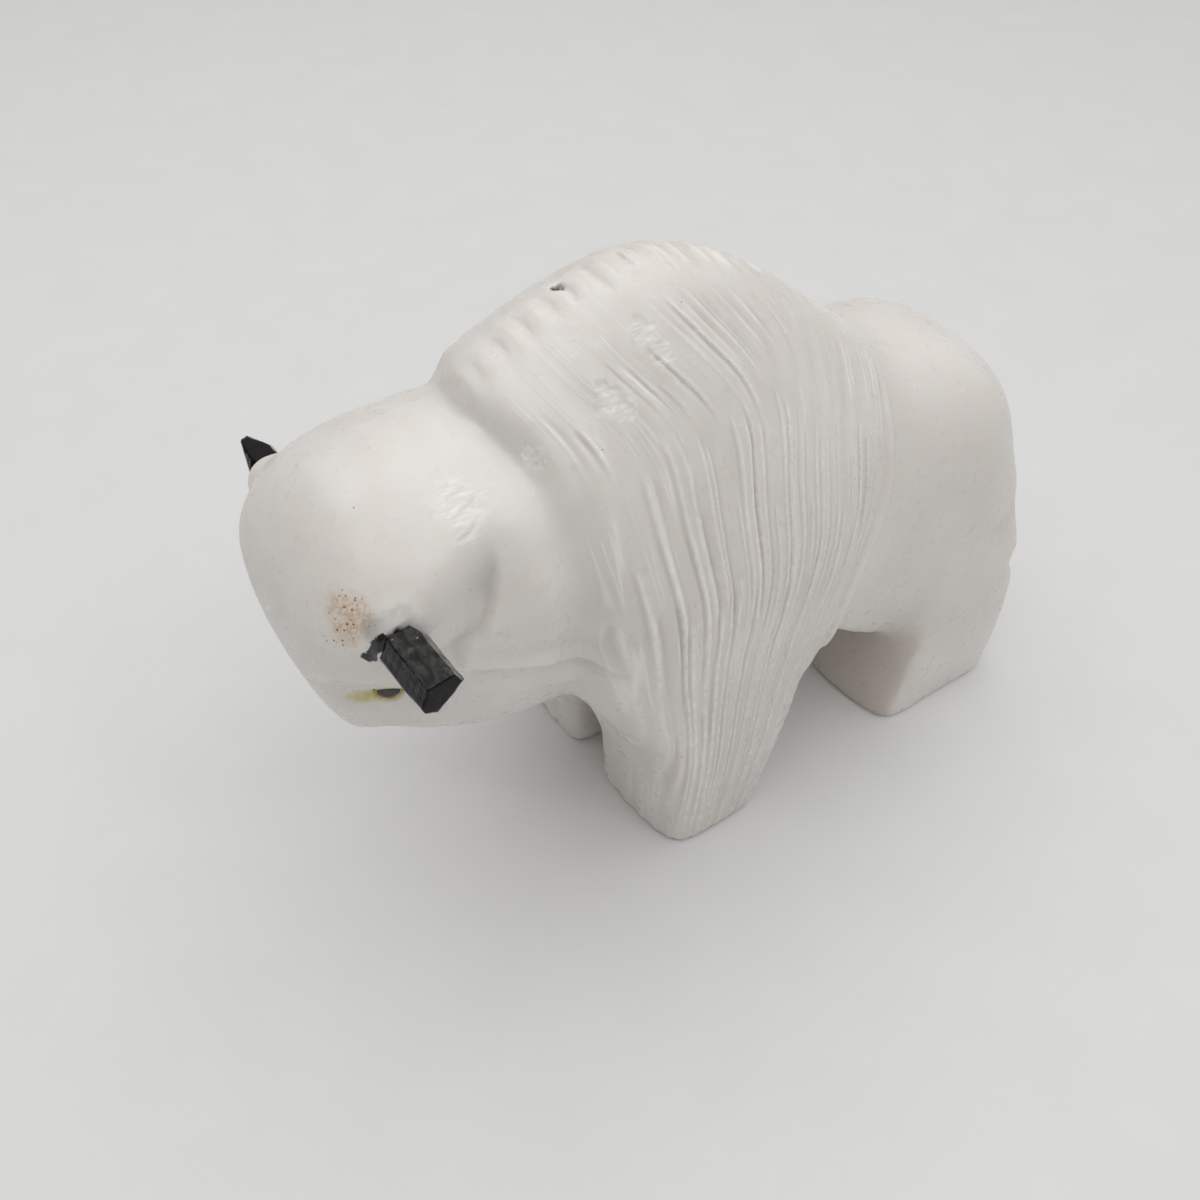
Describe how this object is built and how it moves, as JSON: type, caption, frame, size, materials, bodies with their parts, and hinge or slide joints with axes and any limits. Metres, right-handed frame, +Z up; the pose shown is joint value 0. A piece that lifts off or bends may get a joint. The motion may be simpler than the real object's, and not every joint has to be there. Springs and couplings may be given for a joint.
{
  "type": "buffalo carving",
  "caption": "Standing buffalo carved from one piece of white stone, with humped maned shoulders, a tail laid on the haunch, and inlaid black stone horns and eyes.",
  "frame": {"origin": "on the ground, under the middle of the carving's bounding box", "axes": "+X toward the rump, -X toward the head, +Y toward the animal's right side, +Z up"},
  "size_m": [0.128, 0.057, 0.0978],
  "materials": {
    "white_stone": "polished, slightly translucent",
    "black_stone": "glossy, knapped"
  },
  "bodies": {
    "root": {"body": "white_stone", "horn_left": "black_stone", "horn_right": "black_stone", "eye_left": "black_stone", "eye_right": "black_stone"}
  },
  "joints": []
}
